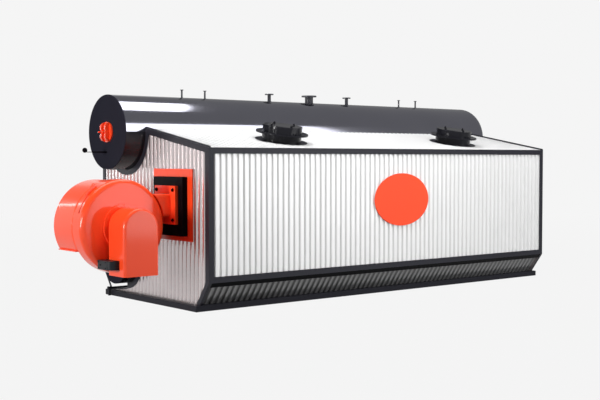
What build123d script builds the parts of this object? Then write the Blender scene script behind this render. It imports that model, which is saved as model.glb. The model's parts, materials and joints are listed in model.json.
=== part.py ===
"""Industrial water-tube boiler: two drums in a ribbed sheet casing on a base frame, with a front burner.

Millimetres. +Z is up, the burner end faces -Y, the long ribbed side faces +X, and both drums lie at -X.
The origin is on the floor, at the middle of the four foundation bolts.
"""
from build123d import *
from math import atan2, cos, hypot, pi, radians, sin, sqrt, tan
import os

# Body: the casing between the base frame and the roof
body_length = 7680
body_width = 3150
eave_height = 2420
roof_pitch = 10.3
knee_height = 435
chamfer_inset = 245
shoulder_drop = 325
shoulder_plate_t = 10

# Base frame
base_height = 90
base_overhang = 80
base_side_overhang = 32
rail_width = 170
cross_beam_width = 150
cross_beam_count = 5
anchor_hole_d = 26
anchor_edge = 85

# Cladding: ribbed sheets behind flat trim strips
rib_pitch = 106.6
rib_depth = 26
rib_slope = 15
crest_share = 0.5
side_rib_start = 68
end_rib_start = 92
sheet_build = 42
trim_thickness = 8
trim_width = 90
thin_trim = 20
skirt_setback = 45
knee_band = 70

# Upper drum: it lies in the shoulder on the left, with a flat strip along its underside
drum_inset = 790
jacket_sink = 15
jacket_d = 1200
jacket_build = 70
jacket_front_overhang = 342
jacket_rear_overhang = 220
cover_thickness = 14
head_crown = 0.9
head_knuckle = 0.173

# Lower drum
lower_drum_z = 620
drum_bank_overlap = 60
lower_jacket_d = 760
lower_front_overhang = 218
lower_rear_overhang = 160
saddle_thickness = 90
saddle_reach = 285
saddle_rise = 190
sill_height = 155

# Manways on the drum covers
manway_width = 336
manway_height = 326
manway_thickness = 25
manway_shift = 35
manway_stud_d = 24
manway_stud_length = 112
manway_nut_d = 44
manway_nut_height = 22
yoke_width = 46
yoke_rise = 70
yoke_waist = 38
yoke_spread = 135
yoke_span = 304

# Lever on the upper cover
lever_length = 390
lever_d = 22
lever_grip_length = 133
lever_grip_d = 11
lever_knob_d = 80
lever_knob_lift = 28
lever_drop = 320

# Nozzles on top of the upper drum, spaced from the middle of the body
nozzle_rise = 135
nozzle_foot = 30
safety_spacing = 925
inner_small_spacing = 2310
outer_small_spacing = 2775
steam_flange_d = 275
safety_flange_d = 155
small_flange_d = 56
steam_pipe_d = 150
safety_pipe_d = 62
small_pipe_d = 30
steam_pipe_wall = 10
safety_pipe_wall = 7
steam_flange_t = 26
safety_flange_t = 20
small_flange_t = 12
steam_bolt_pcd = 225
safety_bolt_pcd = 118
steam_bolt_d = 18
safety_bolt_d = 12
steam_bolts = 8
safety_bolts = 4

# Relief vents on the roof
vent_spacing = 4020
vent_centre_y = 35
vent_inset = 675
vent_neck_d = 640
vent_flange_d = 850
vent_neck_height = 110
vent_flange_t = 26
vent_cap_height = 108
vent_skirt_t = 8
vent_stud_d = 26
vent_stud_height = 30
vent_stud_circle = 452
vent_studs = 4

# Burner port in the front wall
port_inset = 955
port_drop = 860
port_frame_size = 1085
port_frame_bar = 140
port_frame_t = 20
collar_width = 820
collar_height = 890
collar_depth = 100
collar_drop = 20
collar_corner_r = 12
flange_size = 580
flange_t = 52
flange_hole_d = 30
flange_hole_pitch = 455

# Burner: a fan housing and its air inlet drum share one axis across the front, with the motor beside them
burner_reach = 948
burner_drop = 294
fan_d = 1380
fan_width = 260
fan_offset = 40
fan_rim_r = 75
inlet_d = 1352
inlet_width = 622
inlet_rim_r = 75
inlet_cut_drop = 357
inlet_lip = 30
inlet_lip_t = 14
slot_width = 26
slot_depth = 24
slot_inset = 132
slot_angles = (18, 41)
flap_angles = (42, 57)
flap_rise = (30, 70)
flap_width = 46
neck_width = 330
neck_height = 340
neck_corner_r = 45
motor_flange_d = 680
motor_flange_t = 20
motor_gap = 20
motor_spigot_d = 500
motor_length = 458
motor_depth = 566
motor_drop = 682
motor_edge_r = 40
motor_back_edge_r = 24
control_box_length = 353
control_box_depth = 160
control_box_height = 130
control_box_rise = 98
control_box_left_r = 12
control_box_right_r = 90
control_box_gap = 7

# Oval plate on the long side
plate_width = 1256
plate_height = 880
plate_t = 14
plate_rise = 142.5
plate_y = 84

# Flue outlet on the rear wall
flue_inset = 675
flue_gap = 99.5
flue_width = 900
flue_depth = 160
flue_wall = 8
flue_flange = 60
flue_flange_t = 10
flue_bolt_d = 14
flue_bolt_inset = 30

# Blow-down line under the lower drum
blowdown_d = 34
blowdown_valve_size = 60
blowdown_valve_head = 18
blowdown_inset = 150
seat_gap = 0.3
blowdown_run = 700

half_w = body_width / 2
half_l = body_length / 2
base_half = half_w - chamfer_inset
jacket_r = jacket_d / 2
lower_r = lower_jacket_d / 2
front_y = -half_l
rear_y = half_l
clad_build = trim_thickness + sheet_build
slope = tan(radians(roof_pitch))
sill_slope = (sill_height - base_height) / (drum_inset - chamfer_inset)
roof_drop = sheet_build / cos(radians(roof_pitch))

shoulder_height = eave_height - shoulder_drop
drum_x = -half_w + drum_inset
drum_z = shoulder_height + jacket_r - jacket_sink
nozzle_top = drum_z + jacket_r + nozzle_rise
vent_x = half_w - vent_inset
flue_x = -half_w + flue_inset
flue_z = (shoulder_height + lower_drum_z + lower_r) / 2
flue_height = shoulder_height - lower_drum_z - lower_r - 2 * (flue_gap + flue_flange + flue_wall)
plate_z = (knee_height + eave_height) / 2 + plate_rise
rail_edge = base_half + base_side_overhang
anchor_x = rail_edge - anchor_edge
anchor_y = half_l + base_overhang - anchor_edge

inner_front = front_y + clad_build
inner_rear = rear_y - clad_build
inner_right = half_w - clad_build
inner_left = -half_w + clad_build
jacket_front_y = front_y - jacket_front_overhang
jacket_rear_y = rear_y + jacket_rear_overhang
lower_front_y = front_y - lower_front_overhang
lower_rear_y = rear_y + lower_rear_overhang

port_x = half_w - port_inset
port_z = eave_height - port_drop
burner_axis_y = front_y - burner_reach
burner_axis_z = port_z - burner_drop
fan_x0 = port_x + fan_offset - fan_width / 2
fan_x1 = fan_x0 + fan_width
inlet_x0 = fan_x0 - inlet_width
motor_base_z = burner_axis_z - motor_drop

cut_extra = 10


def roof_z(x):
    """Height of the roof plane above the floor at a distance x from the middle."""
    return eave_height + (half_w - x) * slope


def roof_meets_drum():
    """The point where the roof plane runs into the drum jacket, on its right side."""
    rise = roof_z(drum_x) - drum_z
    a = 1 + slope ** 2
    b = -2 * slope * rise
    c = rise ** 2 - jacket_r ** 2
    dx = (-b + sqrt(b * b - 4 * a * c)) / (2 * a)
    return drum_x + dx, roof_z(drum_x + dx)


peak_x, peak_z = roof_meets_drum()


def front_plane(y):
    """A plane at y that faces the front: sketch x runs along X and sketch y runs up."""
    return Plane(origin=(0, y, 0), x_dir=(1, 0, 0), z_dir=(0, -1, 0))


def side_plane(x):
    """A plane at x that faces the long side: sketch x runs along Y and sketch y runs up."""
    return Plane(origin=(x, 0, 0), x_dir=(0, 1, 0), z_dir=(1, 0, 0))


def slab_y(sketch, y0, y1):
    """The sketch in X and Z, as a slab from y0 to y1."""
    return extrude(front_plane(y1) * sketch, amount=y1 - y0)


def slab_x(sketch, x0, x1):
    """The sketch in Y and Z, as a slab from x0 to x1."""
    return extrude(side_plane(x0) * sketch, amount=x1 - x0)


def face_of(*points):
    """A flat face with the given corners."""
    return make_face(Polyline(*points, close=True))


def box_between(x0, x1, y0, y1, z0, z1):
    """A box given by its two corners."""
    return Pos((x0 + x1) / 2, (y0 + y1) / 2, (z0 + z1) / 2) * Box(x1 - x0, y1 - y0, z1 - z0)


def ribbed_sheet(length, height, rib_start):
    """A sheet with trapezoid ribs along its height: crests at local z = 0, back at -sheet_build.

    The middle of one rising slope lies at rib_start from the sheet's left edge.
    """
    half_slope = rib_slope / 2
    fall = crest_share * rib_pitch
    first = -length / 2 + rib_start - 2 * rib_pitch
    last = first
    points = [(first - half_slope, -sheet_build)]
    while last < length / 2:
        points += [(last - half_slope, -rib_depth), (last + half_slope, 0), (last + fall - half_slope, 0),
                   (last + fall + half_slope, -rib_depth)]
        last += rib_pitch
    points.append((last, -rib_depth))
    points.append((last, -sheet_build))
    profile = make_face(Polyline(*points, close=True)) & Rectangle(length, 2 * sheet_build)
    upright = Plane(origin=(0, height / 2, 0), x_dir=(1, 0, 0), z_dir=(0, -1, 0))
    return extrude(upright * profile, amount=height)


def wall_area(inset=0):
    """The end of the casing, without the openings for the drums."""
    left_top = shoulder_height
    return face_of((base_half - inset, base_height), (half_w - inset, knee_height),
                   (half_w - inset, roof_z(half_w - inset)), (peak_x, peak_z), (drum_x, drum_z),
                   (drum_x, left_top), (-half_w + inset, left_top), (-half_w + inset, knee_height),
                   (-base_half + inset, base_height))


def drum_circle(r):
    return Pos(drum_x, drum_z) * Circle(r)


def lower_circle(r):
    return Pos(drum_x, lower_drum_z) * Circle(r)


def sill_z(x):
    """Height of the sloping sill under the open corner left of the lower drum."""
    return base_height + (x + base_half) * sill_slope


def side_gap():
    """The open corner left of the lower drum, from the sloping sill up to the knee."""
    return face_of((drum_x, sill_height), (drum_x, knee_height), (-half_w - 1, knee_height),
                   (-half_w - 1, base_height), (-base_half, base_height))


def end_sheet(facing_rear):
    """The ribbed sheet that closes one end of the casing."""
    y = rear_y - trim_thickness if facing_rear else front_y + trim_thickness
    inner_w = half_w - trim_thickness
    between = face_of((-inner_w, 0), (inner_w, 0), (inner_w, peak_z), (-inner_w, peak_z))
    area = (wall_area() & between) - drum_circle(jacket_r) - lower_circle(lower_r) - side_gap()
    top = peak_z
    ribs = ribbed_sheet(body_width, top - base_height, end_rib_start)
    if facing_rear:
        place = Plane(origin=(0, y, (top + base_height) / 2), x_dir=(-1, 0, 0), z_dir=(0, 1, 0))
        mask = slab_y(area, y - sheet_build, y)
    else:
        place = Plane(origin=(0, y, (top + base_height) / 2), x_dir=(1, 0, 0), z_dir=(0, -1, 0))
        mask = slab_y(area, y, y + sheet_build)
    sheet = (place * ribs) & mask
    return sheet - roof_cutter()


def end_trim(facing_rear):
    """The flat dark strips that frame one end: posts, rake, drum arcs and edges."""
    w = trim_width
    t = thin_trim
    chamfer_w = 0.6 * w
    parts = [
        face_of((half_w, knee_height), (half_w, eave_height), (half_w - w, roof_z(half_w - w)),
                (half_w - w, knee_height)),
        face_of((base_half, base_height), (half_w, knee_height), (half_w - w, knee_height),
                (base_half - w, base_height)),
        face_of((half_w, eave_height), (peak_x, peak_z), (peak_x, peak_z - w), (half_w, eave_height - w)),
        face_of((-half_w, knee_height), (-half_w, shoulder_height), (-half_w + w, shoulder_height),
                (-half_w + w, knee_height)),
        face_of((-base_half, base_height), (-half_w, knee_height), (-half_w + chamfer_w, knee_height),
                (-base_half + chamfer_w, base_height)),
        face_of((-half_w, shoulder_height), (drum_x, shoulder_height), (drum_x, shoulder_height - t),
                (-half_w, shoulder_height - t)),
        face_of((-base_half, base_height), (-base_half + 4 * t, base_height), (drum_x, sill_height - t),
                (drum_x, sill_height)),
        face_of((-half_w, knee_height), (drum_x, knee_height), (drum_x, knee_height + t),
                (-half_w, knee_height + t)),
        (drum_circle(jacket_r + w) - drum_circle(jacket_r)) & wall_area(),
        ((lower_circle(lower_r + w) - lower_circle(lower_r)) & wall_area()) - side_gap(),
    ]
    area = parts[0]
    for part in parts[1:]:
        area += part
    area = area - drum_circle(jacket_r) - lower_circle(lower_r)
    if facing_rear:
        return slab_y(area, rear_y - trim_thickness, rear_y)
    return slab_y(area, front_y, front_y + trim_thickness)


def wall_strips(y_half, z0, z1):
    """A rectangular frame of trim strips in Y and Z, with its outer size given."""
    outer = face_of((-y_half, z0), (y_half, z0), (y_half, z1), (-y_half, z1))
    w = trim_width
    inner = face_of((-y_half + w, z0 + w), (y_half - w, z0 + w), (y_half - w, z1 - w), (-y_half + w, z1 - w))
    return outer - inner


# Base frame
def base_rails():
    solids = []
    for side in (-1, 1):
        x0 = side * rail_edge
        x1 = side * (rail_edge - rail_width)
        rail = box_between(min(x0, x1), max(x0, x1), front_y - base_overhang, rear_y + base_overhang,
                           0, base_height)
        for end in (-1, 1):
            hole = Cylinder(anchor_hole_d / 2, base_height + cut_extra)
            rail -= Pos(side * anchor_x, end * anchor_y, base_height / 2) * hole
        solids.append(rail)
    return solids


def cross_beam_centres():
    first = front_y - base_overhang + cross_beam_width / 2
    step = -2 * first / (cross_beam_count - 1)
    return [first + i * step for i in range(cross_beam_count)]


def base_cross_beams():
    x = rail_edge - rail_width
    return [box_between(-x, x, y - cross_beam_width / 2, y + cross_beam_width / 2, 0, base_height)
            for y in cross_beam_centres()]


# Casing
def chamfer_normal():
    rise = knee_height - base_height
    length = hypot(chamfer_inset, rise)
    return rise / length, -chamfer_inset / length, length


def furnace_casing():
    """The closed furnace block: it fills the body right of the drums, under the roof."""
    nx, nz, length = chamfer_normal()
    back = skirt_setback + sheet_build
    low_x = base_half - back / nx
    knee_x = half_w - back / nx
    cut = (inner_right - low_x) / (knee_x - low_x)
    knee_z = base_height + cut * (knee_height - base_height)
    side_x = drum_x + drum_bank_overlap
    area = face_of((side_x, base_height), (low_x, base_height), (inner_right, knee_z),
                   (inner_right, roof_z(inner_right) - roof_drop), (peak_x, peak_z - roof_drop),
                   (side_x, peak_z - roof_drop))
    return between_drums(area)


def between_drums(area):
    """The largest face that is left once both drums are cut out, as a block inside the cladding."""
    rest = area - drum_circle(jacket_r) - lower_circle(lower_r)
    largest = rest.faces().sort_by(SortBy.AREA)[-1]
    return slab_y(largest, inner_front, inner_rear)


def tube_bank_casing():
    """The closed block between the two drums, left of the furnace."""
    side_x = drum_x + drum_bank_overlap
    top = shoulder_height - shoulder_plate_t
    return between_drums(face_of((inner_left, lower_drum_z), (side_x, lower_drum_z), (side_x, top),
                                 (inner_left, top)))


def shoulder_plate():
    under = shoulder_height - shoulder_plate_t
    area = face_of((inner_left, under), (drum_x, under), (drum_x, shoulder_height),
                   (inner_left, shoulder_height))
    return slab_y(area - drum_circle(jacket_r), inner_front, inner_rear)


def right_wall_sheet():
    height = eave_height - knee_height
    sheet = ribbed_sheet(body_length - 2 * clad_build, height, side_rib_start)
    place = Plane(origin=(half_w - trim_thickness, 0, knee_height + height / 2), x_dir=(0, 1, 0),
                  z_dir=(1, 0, 0))
    return (place * sheet) - roof_cutter()


def left_wall_sheet():
    height = shoulder_height - knee_height
    sheet = ribbed_sheet(body_length - 2 * clad_build, height, side_rib_start)
    place = Plane(origin=(-half_w + trim_thickness, 0, knee_height + height / 2), x_dir=(0, -1, 0),
                  z_dir=(-1, 0, 0))
    return place * sheet


def roof_frame(x):
    """A plane on the roof at x, facing away from it: sketch x runs along Y and sketch y up the slope."""
    a = radians(roof_pitch)
    return Plane(origin=(x, 0, roof_z(x)), x_dir=(0, 1, 0), z_dir=(sin(a), 0, cos(a)))


def roof_cutter():
    """Everything above the underside of the roof sheet."""
    edge = half_w + cut_extra
    top = peak_z + roof_drop
    area = face_of((edge, roof_z(edge) - roof_drop), (peak_x, peak_z - roof_drop), (peak_x, top), (edge, top))
    return slab_y(area, front_y - cut_extra, rear_y + cut_extra)


def roof_sheet():
    middle = (half_w + peak_x) / 2
    run = (half_w - peak_x) / cos(radians(roof_pitch))
    ribs = ribbed_sheet(body_length - 2 * trim_thickness, run + 2 * sheet_build, side_rib_start)
    sheet = roof_frame(middle) * ribs
    edge = half_w - trim_thickness
    top = peak_z + sheet_build
    keep = face_of((edge, shoulder_height), (edge, top), (drum_x, top), (drum_x, shoulder_height))
    keep = keep - drum_circle(jacket_r)
    return sheet & slab_y(keep, front_y + trim_thickness, rear_y - trim_thickness)


def right_skirt_sheet():
    nx, nz, length = chamfer_normal()
    cx = (base_half + half_w) / 2 - skirt_setback * nx
    cz = (base_height + knee_height) / 2 - skirt_setback * nz
    place = Plane(origin=(cx, 0, cz), x_dir=(0, 1, 0), z_dir=(nx, 0, nz))
    width = length + 2 * (skirt_setback + sheet_build)
    sheet = place * ribbed_sheet(body_length - 2 * clad_build, width, side_rib_start)
    top = knee_height - knee_band
    keep = face_of((0, base_height), (half_w, base_height), (half_w, top), (0, top))
    return sheet & slab_y(keep, front_y, rear_y)


def right_wall_trim():
    frame = wall_strips(half_l - trim_thickness, knee_height, eave_height)
    strips = slab_x(frame, half_w - trim_thickness, half_w)
    inside = half_w - clad_build
    outside = half_w + cut_extra
    above = face_of((inside, roof_z(inside)), (outside, roof_z(outside)), (outside, peak_z), (inside, peak_z))
    return strips - slab_y(above, front_y - cut_extra, rear_y + cut_extra)


def left_wall_trim():
    return slab_x(wall_strips(half_l - trim_thickness, knee_height, shoulder_height), -half_w,
                  -half_w + trim_thickness)


def right_knee_band():
    """The dark flat bar under the knee, between the wall and the skirt."""
    lean = chamfer_inset * knee_band / (knee_height - base_height)
    x1 = half_w - trim_thickness
    x0 = x1 - 2 * skirt_setback
    low = knee_height - knee_band
    area = face_of((x1, knee_height), (x1 - lean, low), (x0 - lean, low), (x0, knee_height))
    return slab_y(area, inner_front, inner_rear)


# Drums
def jacket_section():
    """The drum jacket in section: a ring whose underside is flat where it lies on the shoulder."""
    ring = Circle(jacket_r) - Circle(jacket_r - jacket_build)
    flat = face_of((-jacket_r, shoulder_height - drum_z), (jacket_r, shoulder_height - drum_z),
                   (jacket_r, jacket_r), (-jacket_r, jacket_r))
    return ring & flat


def upper_drum_jacket():
    upper = face_of((-jacket_r, 0), (jacket_r, 0), (jacket_r, jacket_r), (-jacket_r, jacket_r))
    return slab_y(Pos(drum_x, drum_z) * (jacket_section() & upper), jacket_front_y, jacket_rear_y)


def upper_drum_belly():
    lower = face_of((-jacket_r, -jacket_r), (jacket_r, -jacket_r), (jacket_r, 0), (-jacket_r, 0))
    return slab_y(Pos(drum_x, drum_z) * (jacket_section() & lower), jacket_front_y, jacket_rear_y)


def upper_drum_front_cover():
    flat = face_of((-jacket_r, shoulder_height - drum_z), (jacket_r, shoulder_height - drum_z),
                   (jacket_r, jacket_r), (-jacket_r, jacket_r))
    disc = Circle(jacket_r) & flat
    return slab_y(Pos(drum_x, drum_z) * disc, jacket_front_y - cover_thickness, jacket_front_y)


def head_depth(r):
    """How far a dished head of radius r bulges."""
    crown = 2 * r * head_crown
    knuckle = 2 * r * head_knuckle
    return crown - sqrt((crown - knuckle) ** 2 - (r - knuckle) ** 2)


def dished_head(r, x, y, z):
    """A closed dished head that bulges to the rear from y: a wide crown with a tight knuckle round it."""
    crown = 2 * r * head_crown
    knuckle = 2 * r * head_knuckle
    depth = head_depth(r)
    lean = atan2(r - knuckle, crown - depth)
    join = (crown * sin(lean), depth - crown + crown * cos(lean))
    half = (pi / 2 - lean) / 2
    bend = (r - knuckle + knuckle * cos(half), knuckle * sin(half))
    middle = (crown * sin(lean / 2), depth - crown + crown * cos(lean / 2))
    profile = make_face([Line((0, 0), (r, 0)), ThreePointArc((r, 0), bend, join),
                         ThreePointArc(join, middle, (0, depth)), Line((0, depth), (0, 0))])
    return Pos(x, y, z) * revolve(profile, axis=Axis.Y)


def upper_drum_rear_head():
    head = dished_head(jacket_r, drum_x, jacket_rear_y, drum_z)
    return head - box_between(drum_x - jacket_r, drum_x + jacket_r, jacket_rear_y - cut_extra,
                              jacket_rear_y + jacket_r, base_height, shoulder_height)


def manway(x, y, z, share):
    """An oval lid with two cast yokes side by side, each drawn down by its own stud and nut."""
    thickness = manway_thickness * share
    stud = manway_stud_length * share
    nut = manway_nut_height * share
    face = y - thickness
    lid = Ellipse(manway_width * share / 2, manway_height * share / 2)
    body = slab_y(Pos(x, z) * lid, face, y)
    for side in (-1, 1):
        yoke_x = x + side * yoke_spread * share / 2
        body += Pos(yoke_x, face, z) * yoke(share)
        body += Pos(yoke_x, face - stud / 2, z) * Rot(90, 0, 0) * Cylinder(manway_stud_d * share / 2, stud)
        seat = face - yoke_waist * share
        hexagon = RegularPolygon(manway_nut_d * share / 2, 6)
        body += slab_y(Pos(yoke_x, z) * hexagon, seat - nut, seat)
    return body


def yoke(share):
    """One cast yoke on the lid's face: two lobes with a waist between them for the nut."""
    half = yoke_span * share / 2
    rise = yoke_rise * share
    waist = yoke_waist * share
    lower = ThreePointArc((0, -half), (-rise, -half / 2), (-waist, 0))
    upper = ThreePointArc((-waist, 0), (-rise, half / 2), (0, half))
    profile = make_face([lower, upper, Line((0, half), (0, -half))])
    return extrude(side_plane(-yoke_width * share / 2) * profile, amount=yoke_width * share)


def upper_manway():
    return manway(drum_x + manway_shift, jacket_front_y - cover_thickness, drum_z, 1)


def cover_lever():
    """A rod that stands out of the cover, thinner towards its end, with a round knob."""
    y0 = jacket_front_y - cover_thickness
    z = drum_z - lever_drop
    thick = lever_length - lever_grip_length
    rod = Pos(drum_x, y0 - thick / 2, z) * Rot(90, 0, 0) * Cylinder(lever_d / 2, thick)
    grip = Pos(drum_x, y0 - thick - lever_grip_length / 2, z) * Rot(90, 0, 0)
    rod += grip * Cylinder(lever_grip_d / 2, lever_grip_length)
    rod += Pos(drum_x, y0 - lever_length, z + lever_knob_lift) * Sphere(lever_knob_d / 2)
    return rod


def lower_drum_jacket():
    ring = Circle(lower_r) - Circle(lower_r - jacket_build)
    return slab_y(Pos(drum_x, lower_drum_z) * ring, lower_front_y, lower_rear_y)


def lower_drum_front_cover():
    return slab_y(lower_circle(lower_r), lower_front_y - cover_thickness, lower_front_y)


def lower_drum_rear_head():
    return dished_head(lower_r, drum_x, lower_rear_y, lower_drum_z)


def lower_manway():
    return manway(drum_x, lower_front_y - cover_thickness, lower_drum_z, lower_r / jacket_r)


def lower_drum_saddles():
    """One cradle on each inner cross beam, cut to the drum."""
    top = lower_drum_z - saddle_rise
    right = drum_x + drum_bank_overlap
    area = face_of((drum_x - saddle_reach, base_height), (right, base_height), (right, top),
                   (drum_x - saddle_reach, top)) - lower_circle(lower_r)
    half = saddle_thickness / 2
    return [slab_y(area, y - half, y + half) for y in cross_beam_centres()[1:-1]]


# Nozzles
def flanged_nozzle(y, pipe_d, flange_d, flange_t, wall=0, bolts=0, pcd=0, bolt_d=0):
    """An upright pipe from the drum jacket with a flange on top, open where a wall is given."""
    foot = drum_z + sqrt(jacket_r ** 2 - (pipe_d / 2) ** 2) - nozzle_foot
    neck = nozzle_top - flange_t - foot
    body = Pos(drum_x, y, foot + neck / 2) * Cylinder(pipe_d / 2, neck) - jacket_solid()
    body += Pos(drum_x, y, nozzle_top - flange_t / 2) * Cylinder(flange_d / 2, flange_t)
    if wall:
        body -= Pos(drum_x, y, nozzle_top) * Cylinder(pipe_d / 2 - wall, 2 * (neck - nozzle_foot) + flange_t)
    for i in range(bolts):
        a = radians(360 / bolts * (i + 0.5))
        hole = Pos(drum_x + pcd / 2 * cos(a), y + pcd / 2 * sin(a), nozzle_top - flange_t / 2)
        body -= hole * Cylinder(bolt_d / 2, 2 * flange_t)
    return body


def jacket_solid():
    return Pos(drum_x, 0, drum_z) * Rot(90, 0, 0) * Cylinder(jacket_r, 2 * jacket_rear_y)


def steam_nozzle():
    return flanged_nozzle(0, steam_pipe_d, steam_flange_d, steam_flange_t, steam_pipe_wall, steam_bolts,
                          steam_bolt_pcd, steam_bolt_d)


def safety_nozzles():
    size = (safety_pipe_d, safety_flange_d, safety_flange_t, safety_pipe_wall)
    bolting = (safety_bolts, safety_bolt_pcd, safety_bolt_d)
    return [flanged_nozzle(side * safety_spacing, *size, *bolting) for side in (-1, 1)]


def small_nozzles():
    places = (-outer_small_spacing, -inner_small_spacing, inner_small_spacing, outer_small_spacing)
    return [flanged_nozzle(y, small_pipe_d, small_flange_d, small_flange_t) for y in places]


# Relief vents
def relief_vent(y):
    """A round vent square to the roof: skirt, neck, clamping flange and sprung cap with its studs."""
    neck_r, flange_r = vent_neck_d / 2, vent_flange_d / 2
    base = 0
    body = []
    for r, height in ((flange_r, vent_skirt_t), (neck_r, vent_neck_height), (flange_r, vent_flange_t),
                      (neck_r, vent_cap_height)):
        body.append(Pos(0, 0, base + height / 2) * Cylinder(r, height))
        base += height
    for i in range(vent_studs):
        a = radians(360 / vent_studs * i)
        stud = Pos(vent_stud_circle / 2 * cos(a), vent_stud_circle / 2 * sin(a), base + vent_stud_height / 2)
        body.append(stud * Cylinder(vent_stud_d / 2, vent_stud_height))
    return roof_frame(vent_x) * Pos(vent_centre_y + y, 0, 0) * (body[0] + body[1:])


# Burner port
def port_frame():
    outer = Rectangle(port_frame_size, port_frame_size)
    inner = Rectangle(port_frame_size - 2 * port_frame_bar, port_frame_size - 2 * port_frame_bar)
    area = Pos(port_x, port_z) * (outer - inner)
    return slab_y(area, front_y - port_frame_t + trim_thickness, front_y + trim_thickness)


def port_collar():
    back = front_y + trim_thickness
    area = Pos(port_x, port_z) * Rectangle(port_frame_size - 2 * port_frame_bar,
                                           port_frame_size - 2 * port_frame_bar)
    plug = slab_y(area, front_y - port_frame_t + trim_thickness, back)
    front = Pos(port_x, port_z - collar_drop) * RectangleRounded(collar_width, collar_height, collar_corner_r)
    plug += slab_y(front, front_y - collar_depth, front_y - port_frame_t + trim_thickness)
    return plug


def burner_flange():
    area = Rectangle(flange_size, flange_size)
    for i in (-1, 1):
        for j in (-1, 1):
            area -= Pos(i * flange_hole_pitch / 2, j * flange_hole_pitch / 2) * Circle(flange_hole_d / 2)
    return slab_y(Pos(port_x, port_z) * area, front_y - collar_depth - flange_t, front_y - collar_depth)


def burner_neck():
    """The square duct from the flange into the fan housing, with rounded edges."""
    flange_face = front_y - collar_depth - flange_t
    area = Pos(port_x, port_z) * RectangleRounded(neck_width, neck_height, neck_corner_r)
    duct = slab_y(area, burner_axis_y, flange_face)
    return duct - axis_drum(fan_d / 2, fan_x0, port_x + neck_width) - axis_drum(inlet_d / 2, inlet_x0, fan_x0)


def axis_drum(r, x0, x1):
    """A plain cylinder round the burner's axis."""
    return Pos((x0 + x1) / 2, burner_axis_y, burner_axis_z) * Rot(0, 90, 0) * Cylinder(r, x1 - x0)


def rounded_drum(r, x0, x1, rim):
    """A cylinder round the burner's axis, with its right rim rounded."""
    body = axis_drum(r, x0, x1)
    return fillet(body.edges().filter_by(GeomType.CIRCLE).sort_by(Axis.X)[-1], rim)


def polar(r, degrees_up):
    """A point in Y and Z, at an angle above the burner's front."""
    a = radians(degrees_up)
    return burner_axis_y - r * cos(a), burner_axis_z + r * sin(a)


def arc_segment(r0, r1, angles):
    """A piece of a ring round the burner's axis, as a flat face in Y and Z."""
    low, high = angles
    middle = (low + high) / 2
    outer = ThreePointArc(polar(r1, low), polar(r1, middle), polar(r1, high))
    inner = ThreePointArc(polar(r0, high), polar(r0, middle), polar(r0, low))
    return make_face([outer, Line(outer @ 1, inner @ 0), inner, Line(inner @ 1, outer @ 0)])


def burner_fan_housing():
    """The fan housing, with an air slot in its band and a flap raised over the slot's upper end."""
    r = fan_d / 2
    slot_x = fan_x1 - slot_inset
    slot = arc_segment(r - slot_depth, r + slot_depth, slot_angles)
    body = rounded_drum(r, fan_x0, fan_x1, fan_rim_r)
    body -= slab_x(slot, slot_x - slot_width / 2, slot_x + slot_width / 2)
    low, high = flap_angles
    flap = make_face(Polyline(polar(r - slot_depth, low), polar(r + flap_rise[0], low),
                              polar(r + flap_rise[1], high), polar(r - slot_depth, high), close=True))
    return body + slab_x(flap, slot_x + slot_width / 2 - flap_width, slot_x + slot_width / 2)


def burner_inlet_drum():
    """The air inlet drum: flat underneath, with a lip along the front of its air opening."""
    r = inlet_d / 2
    cut = burner_axis_z - inlet_cut_drop
    body = rounded_drum(r, inlet_x0, fan_x0, inlet_rim_r)
    body -= box_between(inlet_x0 - cut_extra, fan_x0 + cut_extra, burner_axis_y - r, burner_axis_y + r,
                        burner_axis_z - r, cut)
    half = sqrt(r ** 2 - inlet_cut_drop ** 2)
    lip_end = fan_x0 - inlet_rim_r
    edge = burner_axis_y - half
    return body + box_between(inlet_x0, lip_end, edge - inlet_lip, edge + inlet_lip, cut, cut + inlet_lip_t)


def burner_motor_flange():
    """The motor's mounting ring on the fan housing, with the short spigot that carries the cover."""
    ring_end = fan_x1 + motor_flange_t
    return axis_drum(motor_flange_d / 2, fan_x1, ring_end) + axis_drum(motor_spigot_d / 2, ring_end,
                                                                      ring_end + motor_gap)


def burner_motor_cover():
    """The arched cover of the fan motor: a round top on straight sides, with soft edges."""
    x0 = fan_x1 + motor_flange_t + motor_gap
    r = motor_depth / 2
    y, z = burner_axis_y, burner_axis_z
    top = ThreePointArc((y + r, z), (y, z + r), (y - r, z))
    profile = make_face([top, Line((y - r, z), (y - r, motor_base_z)),
                         Line((y - r, motor_base_z), (y + r, motor_base_z)),
                         Line((y + r, motor_base_z), (y + r, z))])
    body = slab_x(profile, x0, x0 + motor_length)
    for end, edge_r in ((-1, motor_edge_r), (0, motor_back_edge_r)):
        face = body.faces().sort_by(Axis.X)[end]
        body = fillet([e for e in face.edges() if e.center().Z > motor_base_z + 1], edge_r)
    return body


def burner_control_box():
    """The control box on the front of the motor cover, with two round upright corners."""
    x0 = fan_x1 + control_box_gap
    x1 = x0 + control_box_length
    y1 = burner_axis_y - motor_depth / 2
    z = motor_base_z + control_box_rise
    body = box_between(x0, x1, y1 - control_box_depth, y1, z, z + control_box_height)
    for end, corner_r in ((0, control_box_left_r), (-1, control_box_right_r)):
        front_edges = body.edges().filter_by(Axis.Z).filter_by(lambda e: e.center().Y < y1 - 1)
        body = fillet(front_edges.sort_by(Axis.X)[end], corner_r)
    return body


# Small pieces
def side_plate():
    area = Pos(plate_y, plate_z) * Ellipse(plate_width / 2, plate_height / 2)
    return slab_x(area, half_w - trim_thickness, half_w - trim_thickness + plate_t)


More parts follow.
